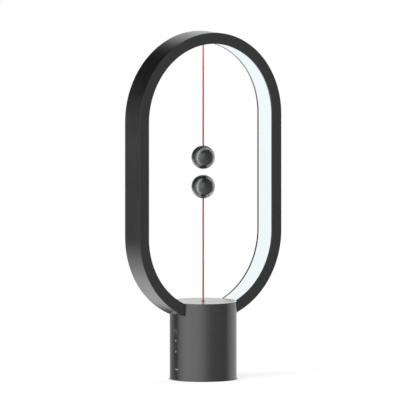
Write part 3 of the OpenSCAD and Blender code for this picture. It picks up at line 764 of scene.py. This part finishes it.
def cord_half_outline():
    """The half ball that the cord enters, cord upwards, from its hole round to the spigot."""
    hole = CORD_R + CORD_PLAY
    rim = math.degrees(math.acos((hole + HOLE_EDGE) / BALL_R))
    return sphere_arc(rim, JOINT_LINE) + [
        (BALL_R - JOINT_LIP[0], JOINT_LIP[1]), (BALL_R - JOINT_DEPTH, 0.0),
        (MAGNET_R, 0), (MAGNET_R, -SPIGOT_T), (STOP_POCKET_R, -SPIGOT_T),
        (STOP_POCKET_R, STOP_POCKET_TOP), (hole, STOP_POCKET_TOP), (hole, BALL_R - HOLE_THROAT),
    ]


def magnet_half_outline():
    """The half ball that holds the magnet, drawn below the equator."""
    wall, floor = MAGNET_R + SEAT_GAP, -MAGNET_FAR - SEAT_GAP
    outside = sphere_arc(-JOINT_LINE, -90)
    outside[-1] = (0, -BALL_R)
    return [
        (0, floor), (wall, floor), (wall, 0), (BALL_R - JOINT_DEPTH, 0),
        (BALL_R - JOINT_LIP[0], -JOINT_LIP[1]),
    ] + outside


def placed(outline, centre, flip):
    """The outline moved to a ball's height; the lower ball is the upper one upside down."""
    way = -1 if flip else 1
    points = [(x, centre + way * y) for x, y in outline]
    return points[::-1] if flip else points


def make_ball(name, centre, flip, cord_node, magnet_node, body):
    halves = (
        ("_cord_half", cord_half_outline(), cord_node),
        ("_magnet_half", magnet_half_outline(), magnet_node),
    )
    for ending, outline, node in halves:
        half = lathe(name + ending, placed(outline, centre, flip), [MATERIALS["ball_gloss"]],
                     BALL_STEPS, BALL_SHARP)
        stand_for(half, node, body)


# ---------- carried-over nodes ----------

def finish_nodes():
    """Gives each model node that still shows the material of its slot."""
    for row in frame["record"]["subparts"]:
        obj = NODES[row["node"]]
        if obj.hide_render:
            continue
        obj.data.materials.clear()
        obj.data.materials.append(MATERIALS[row["material_slot"]])


make_frame_front()
make_rear_cover()
make_diffuser()
make_eyelet()
make_base_shell()
make_top_plate()
make_cord_guide()
make_ball("upper_ball", UPPER_BALL_Z, False, "upper_ball_top_half", "upper_ball_bottom_half",
          "upper_pendulum")
make_ball("lower_ball", LOWER_BALL_Z, True, "lower_ball_bottom_half", "lower_ball_top_half",
          "lower_pendulum")
finish_nodes()


# ---------- light ----------

# Studio round the lamp: (degrees from the camera, + to its right, brightness) at three heights
BELOW_STUDIO = [
    (-180, 0.0), (-169, 0.0), (-160, 1.7), (-152, 1.8), (-142, 1.75), (-128, 2.35), (-112, 0.5),
    (-100, 0.5), (-88, 1.0), (-60, 1.2), (0, 0.8), (90, 0.35), (150, 0.6), (165, 0.6), (175, 0.0),
]
LOW_STUDIO = [
    (-180, 1.6), (-166, 0.9), (-150, 0.5), (-135, 0.4), (-120, 0.3), (-112, 0.1), (-103, 0.1),
    (-88, 1.1), (-62, 1.75), (-20, 1.65), (-4, 1.38), (13, 0.8), (26, 0.47), (50, 0.42), (70, 0.39),
    (86, 0.26), (97, 0.8), (115, 1.15), (160, 1.0), (180, 1.6),
]
HIGH_STUDIO = [
    (-180, 1.3), (-170, 1.0), (-160, 0.25), (-152, 0.01), (-102, 0.01), (-88, 1.0), (-62, 1.5),
    (-12, 1.4), (26, 0.4), (85, 0.3), (120, 0.45), (165, 0.7), (180, 1.3),
]
CEILING = 0.14  # brightness overhead
STUDIO_RANGE = 2.4  # brightness at a ramp's white
HORIZON_LOW = (-0.33, -0.1)  # sine of the height where the lower bands meet, and the upper ones
HORIZON_HIGH = (0.0, 0.28)
CEILING_EDGE = (0.6, 0.85)
MIX_FACTOR, MIX_A, MIX_B, MIX_RESULT = 0, 6, 7, 2  # a Mix node's sockets for colours


def grey(value):
    return (value, value, value)


def studio_ramp(n, share, stops):
    """Brightness round the lamp over STUDIO_RANGE, where share runs once round it from behind."""
    return n.ramp(share, [((a + 180) / 360, grey(v / STUDIO_RANGE)) for a, v in stops])


def blend_by_height(n, z, span, under, over):
    """Passes from one colour to another as the direction's height z crosses a span."""
    rise = n.map_range(z, span, interpolation_type="SMOOTHSTEP")
    mix = n.add("ShaderNodeMix", data_type="RGBA")
    for key, value in ((MIX_FACTOR, rise), (MIX_A, under), (MIX_B, over)):
        n.give(mix.inputs[key], value)
    return mix.outputs[MIX_RESULT]


def make_world():
    """White for the camera. All else sees a studio with a soft light on the left and dark cards."""
    world = bpy.data.worlds.new("studio")
    bpy.context.scene.world = world
    n = Nodes(world)
    n.tree.nodes.clear()
    x, y, z = n.add("ShaderNodeSeparateXYZ", {0: n.place("Generated")}).outputs
    angle = n.calculate("ARCTAN2", x, n.calculate("MULTIPLY", y, -1.0))
    turned = n.calculate("ADD", angle, VIEW_AZ + 3 * math.pi)
    share = n.calculate("FRACT", n.calculate("DIVIDE", turned, 2 * math.pi))
    below, low, high = (studio_ramp(n, share, s) for s in (BELOW_STUDIO, LOW_STUDIO, HIGH_STUDIO))
    around = blend_by_height(n, z, HORIZON_LOW, below, low)
    around = blend_by_height(n, z, HORIZON_HIGH, around, high)
    around = blend_by_height(n, z, CEILING_EDGE, around, (*grey(CEILING / STUDIO_RANGE), 1))
    studio = n.add("ShaderNodeBackground", {"Color": around, "Strength": STUDIO_RANGE}).outputs[0]
    white = n.add("ShaderNodeBackground", {"Color": (1, 1, 1, 1)}).outputs[0]
    seen = n.add("ShaderNodeLightPath").outputs["Is Camera Ray"]
    surface = n.add("ShaderNodeMixShader", {0: seen, 1: studio, 2: white}).outputs[0]
    n.add("ShaderNodeOutputWorld", {"Surface": surface})


# Light given by the ring: soft strips just inside the diffuser, facing inwards
GLOW = 5.4  # radiance
GLOW_COLOUR = (0.88, 0.98, 1.0)
GLOW_DEPTH = 25.6  # mm, from the front of the light to its back
GLOW_R = INNER_R
TOP_ARC_LAMPS = 12
LOW_ARC_LAMPS = 5
LOW_ARC_END = 56  # degrees down from the horizontal
LEFT_ARC_SHARE = 1.6  # the upper left arc glows more in the balls, and the right side less
RIGHT_SIDE_SHARE = 0.5


def strip_lamp(name, centre, inward, length, share=1.0):
    """One flat lamp, length along the ring and GLOW_DEPTH across it, in mm."""
    data = bpy.data.lights.new(name, "AREA")
    data.shape = "RECTANGLE"
    data.size, data.size_y = length * MM, GLOW_DEPTH * MM
    data.energy = share * GLOW * math.pi * data.size * data.size_y
    data.color = GLOW_COLOUR
    lamp = bpy.data.objects.new(name, data)
    bpy.context.scene.collection.objects.link(lamp)
    depth = Vector((0, 1, 0))
    back = -Vector(inward)
    along = depth.cross(back)
    turn = Matrix((along, depth, back)).transposed().to_4x4()
    lamp.matrix_world = Matrix.Translation(Vector(centre) * MM) @ turn
    lamp.visible_camera = False


def arc_lamp(name, centre_z, side, angle, step, share=1.0):
    """One lamp on an arc about centre_z, at an angle above the horizontal, over step radians."""
    c, s = side * math.cos(angle), math.sin(angle)
    strip_lamp(name, (GLOW_R * c, 0, centre_z + GLOW_R * s), (-c, 0, -s), GLOW_R * step, share)


def make_ring_light():
    middle = (ARC_TOP + ARC_LOW) / 2
    for side, share in ((-1, 1.0), (1, RIGHT_SIDE_SHARE)):
        strip_lamp("glow_side", (side * GLOW_R, 0, middle), (-side, 0, 0), ARC_TOP - ARC_LOW, share)
    step = math.pi / TOP_ARC_LAMPS
    for k in range(TOP_ARC_LAMPS):
        a = step * (k + 0.5)
        arc_lamp("glow_top", ARC_TOP, 1, a, step, LEFT_ARC_SHARE if a > math.pi / 2 else 1.0)
    step = math.radians(LOW_ARC_END) / LOW_ARC_LAMPS
    for side in (-1, 1):
        for k in range(LOW_ARC_LAMPS):
            arc_lamp("glow_low", ARC_LOW, side, -step * (k + 0.5), step)


# ---------- floor ----------

FLOOR_R = 600.0
FLOOR_ALBEDO, FLOOR_MOTTLE = 0.8, 0.0125  # share of light sent back, and how much that varies
FLOOR_LIFT = 0.69  # own white added for the camera, so that open floor reads as white
PAINTED_FOOT_SHADOW_EDGES = (38.2, 40.8)  # mm from the axis; the lift grows between these, leaving a painted shadow dark round the foot


def floor_material():
    """Pale and matte. Mirror-like rays pass it, so that reflections show the studio."""
    material = bpy.data.materials.new("floor_pale")
    n = Nodes(material)
    pale = grey(FLOOR_ALBEDO)
    tint = n.tones(n.noise(30, detail=3), shade(pale, 1 - FLOOR_MOTTLE), shade(pale, 1 + FLOOR_MOTTLE))
    n.dress(Base_Color=tint, Roughness=0.9, Specular_IOR_Level=0.0)
    path = n.add("ShaderNodeLightPath").outputs
    away = n.add("ShaderNodeVectorMath", {0: n.place()}, operation="LENGTH").outputs["Value"]
    # The lift falls to nothing near the foot, painting a dark shadow ring round it.
    strength = n.map_range(away, [edge * MM for edge in PAINTED_FOOT_SHADOW_EDGES], (0.0, FLOOR_LIFT))
    lift = n.add("ShaderNodeEmission", {"Strength": strength}).outputs[0]
    dark = n.add("ShaderNodeEmission", {"Strength": 0.0}).outputs[0]
    only_seen = n.add("ShaderNodeMixShader", {0: path["Is Camera Ray"], 1: dark, 2: lift}).outputs[0]
    both = n.add("ShaderNodeAddShader", {0: n.shader.outputs[0], 1: only_seen}).outputs[0]
    clear = n.add("ShaderNodeBsdfTransparent").outputs[0]
    surface = n.add("ShaderNodeMixShader", {0: path["Is Glossy Ray"], 1: both, 2: clear}).outputs[0]
    n.give(n.tree.nodes["Material Output"].inputs["Surface"], surface)
    return material


def make_floor(segments=96, rings=8):
    """A round floor of rings about its middle point."""
    verts = [(0, 0, 0)]
    for i in range(1, rings + 1):
        r = FLOOR_R * i / rings
        verts += [(r * c, r * s, 0) for c, s in turns(segments)]
    faces = [(0, 1 + k, 1 + (k + 1) % segments) for k in range(segments)]
    for i in range(rings - 1):
        a, b = 1 + i * segments, 1 + (i + 1) * segments
        for k in range(segments):
            m = (k + 1) % segments
            faces.append((a + k, b + k, b + m, a + m))
    floor = piece("floor", verts, faces, [floor_material()])


make_world()
make_ring_light()
make_floor()
bpy.context.scene.view_settings.view_transform = "Standard"
